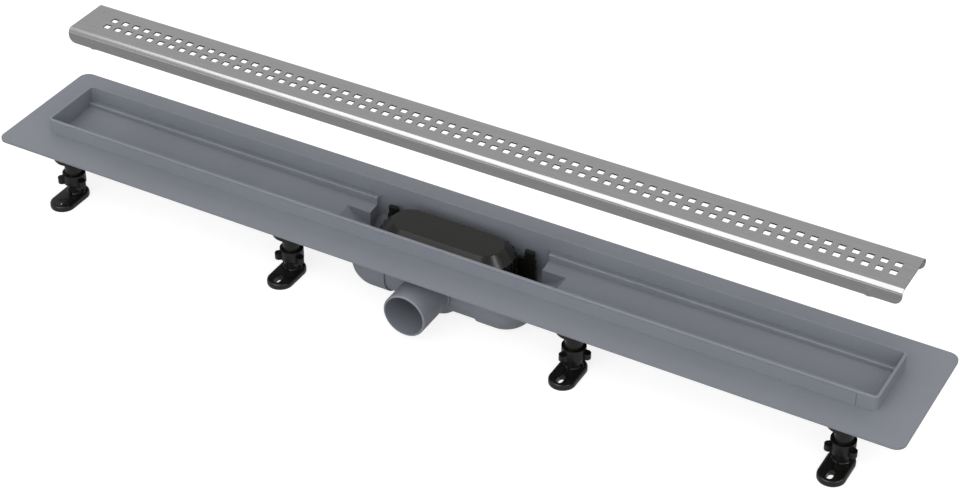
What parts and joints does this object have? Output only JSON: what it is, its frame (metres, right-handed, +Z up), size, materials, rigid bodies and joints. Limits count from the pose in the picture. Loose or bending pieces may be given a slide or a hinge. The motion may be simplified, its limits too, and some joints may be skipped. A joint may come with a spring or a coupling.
{
  "type": "channel drain",
  "caption": "Long shower channel drain: flanged plastic tray with sloping trough, side outlet, bell trap, screw feet, and a perforated folded steel grate shown lifted off.",
  "frame": {"origin": "on the floor that the feet stand on, under the middle of the tray, where the outlet's axis crosses the tray's middle line in plan", "axes": "+X along the channel, -Y the way the outlet points, +Z up"},
  "size_m": [0.93, 0.149, 0.1749],
  "materials": {
    "tray_plastic": "satin",
    "grate_steel": "brushed",
    "trap_plastic": "semi-gloss",
    "foot_plastic": "satin",
    "seal_rubber": "matt"
  },
  "bodies": {
    "tray": {"channel_tray": "tray_plastic", "trap_bell": "trap_plastic", "trap_body": "trap_plastic", "trap_seal": "seal_rubber", "foot_bridge_1": "foot_plastic", "foot_bridge_2": "foot_plastic", "foot_bridge_3": "foot_plastic", "foot_bridge_4": "foot_plastic"},
    "grate": {"grate": "grate_steel"},
    "foot_front_1": {"spindle_front_1": "foot_plastic", "foot_plate_front_1": "foot_plastic"},
    "nut_front_1": {"foot_nut_front_1": "foot_plastic"},
    "foot_front_2": {"spindle_front_2": "foot_plastic", "foot_plate_front_2": "foot_plastic"},
    "nut_front_2": {"foot_nut_front_2": "foot_plastic"},
    "foot_front_3": {"spindle_front_3": "foot_plastic", "foot_plate_front_3": "foot_plastic"},
    "nut_front_3": {"foot_nut_front_3": "foot_plastic"},
    "foot_front_4": {"spindle_front_4": "foot_plastic", "foot_plate_front_4": "foot_plastic"},
    "nut_front_4": {"foot_nut_front_4": "foot_plastic"},
    "foot_rear_1": {"spindle_rear_1": "foot_plastic", "foot_plate_rear_1": "foot_plastic"},
    "nut_rear_1": {"foot_nut_rear_1": "foot_plastic"},
    "foot_rear_2": {"spindle_rear_2": "foot_plastic", "foot_plate_rear_2": "foot_plastic"},
    "nut_rear_2": {"foot_nut_rear_2": "foot_plastic"},
    "foot_rear_3": {"spindle_rear_3": "foot_plastic", "foot_plate_rear_3": "foot_plastic"},
    "nut_rear_3": {"foot_nut_rear_3": "foot_plastic"},
    "foot_rear_4": {"spindle_rear_4": "foot_plastic", "foot_plate_rear_4": "foot_plastic"},
    "nut_rear_4": {"foot_nut_rear_4": "foot_plastic"}
  },
  "joints": [
    {"name": "grate_lift", "type": "slide", "parent": "tray", "child": "grate", "axis": [0.0979, 0.1811, 0.9786], "range_m": [-0.0959, 0]},
    {"name": "foot_front_1_height", "type": "slide", "parent": "tray", "child": "foot_front_1", "axis": [0, 0, 1], "range_m": [-0.015, 0.002]},
    {"name": "nut_front_1_turn", "type": "hinge", "parent": "tray", "child": "nut_front_1", "pos_m": [-0.404, -0.035, 0.02], "axis": [0, 0, 1], "range_deg": [-361, 2701]},
    {"name": "foot_front_2_height", "type": "slide", "parent": "tray", "child": "foot_front_2", "axis": [0, 0, 1], "range_m": [-0.015, 0.002]},
    {"name": "nut_front_2_turn", "type": "hinge", "parent": "tray", "child": "nut_front_2", "pos_m": [-0.149, -0.035, 0.02], "axis": [0, 0, 1], "range_deg": [-361, 2701]},
    {"name": "foot_front_3_height", "type": "slide", "parent": "tray", "child": "foot_front_3", "axis": [0, 0, 1], "range_m": [-0.015, 0.002]},
    {"name": "nut_front_3_turn", "type": "hinge", "parent": "tray", "child": "nut_front_3", "pos_m": [0.149, -0.035, 0.02], "axis": [0, 0, 1], "range_deg": [-361, 2701]},
    {"name": "foot_front_4_height", "type": "slide", "parent": "tray", "child": "foot_front_4", "axis": [0, 0, 1], "range_m": [-0.015, 0.002]},
    {"name": "nut_front_4_turn", "type": "hinge", "parent": "tray", "child": "nut_front_4", "pos_m": [0.404, -0.035, 0.02], "axis": [0, 0, 1], "range_deg": [-361, 2701]},
    {"name": "foot_rear_1_height", "type": "slide", "parent": "tray", "child": "foot_rear_1", "axis": [0, 0, 1], "range_m": [-0.015, 0.002]},
    {"name": "nut_rear_1_turn", "type": "hinge", "parent": "tray", "child": "nut_rear_1", "pos_m": [-0.404, 0.035, 0.02], "axis": [0, 0, 1], "range_deg": [-361, 2701]},
    {"name": "foot_rear_2_height", "type": "slide", "parent": "tray", "child": "foot_rear_2", "axis": [0, 0, 1], "range_m": [-0.015, 0.002]},
    {"name": "nut_rear_2_turn", "type": "hinge", "parent": "tray", "child": "nut_rear_2", "pos_m": [-0.149, 0.035, 0.02], "axis": [0, 0, 1], "range_deg": [-361, 2701]},
    {"name": "foot_rear_3_height", "type": "slide", "parent": "tray", "child": "foot_rear_3", "axis": [0, 0, 1], "range_m": [-0.015, 0.002]},
    {"name": "nut_rear_3_turn", "type": "hinge", "parent": "tray", "child": "nut_rear_3", "pos_m": [0.149, 0.035, 0.02], "axis": [0, 0, 1], "range_deg": [-361, 2701]},
    {"name": "foot_rear_4_height", "type": "slide", "parent": "tray", "child": "foot_rear_4", "axis": [0, 0, 1], "range_m": [-0.015, 0.002]},
    {"name": "nut_rear_4_turn", "type": "hinge", "parent": "tray", "child": "nut_rear_4", "pos_m": [0.404, 0.035, 0.02], "axis": [0, 0, 1], "range_deg": [-361, 2701]}
  ],
  "couplings": [
    {"joint": "nut_front_1_turn", "follows": "foot_front_1_height", "rad_per_m": -3141.6},
    {"joint": "nut_front_2_turn", "follows": "foot_front_2_height", "rad_per_m": -3141.6},
    {"joint": "nut_front_3_turn", "follows": "foot_front_3_height", "rad_per_m": -3141.6},
    {"joint": "nut_front_4_turn", "follows": "foot_front_4_height", "rad_per_m": -3141.6},
    {"joint": "nut_rear_1_turn", "follows": "foot_rear_1_height", "rad_per_m": -3141.6},
    {"joint": "nut_rear_2_turn", "follows": "foot_rear_2_height", "rad_per_m": -3141.6},
    {"joint": "nut_rear_3_turn", "follows": "foot_rear_3_height", "rad_per_m": -3141.6},
    {"joint": "nut_rear_4_turn", "follows": "foot_rear_4_height", "rad_per_m": -3141.6}
  ]
}
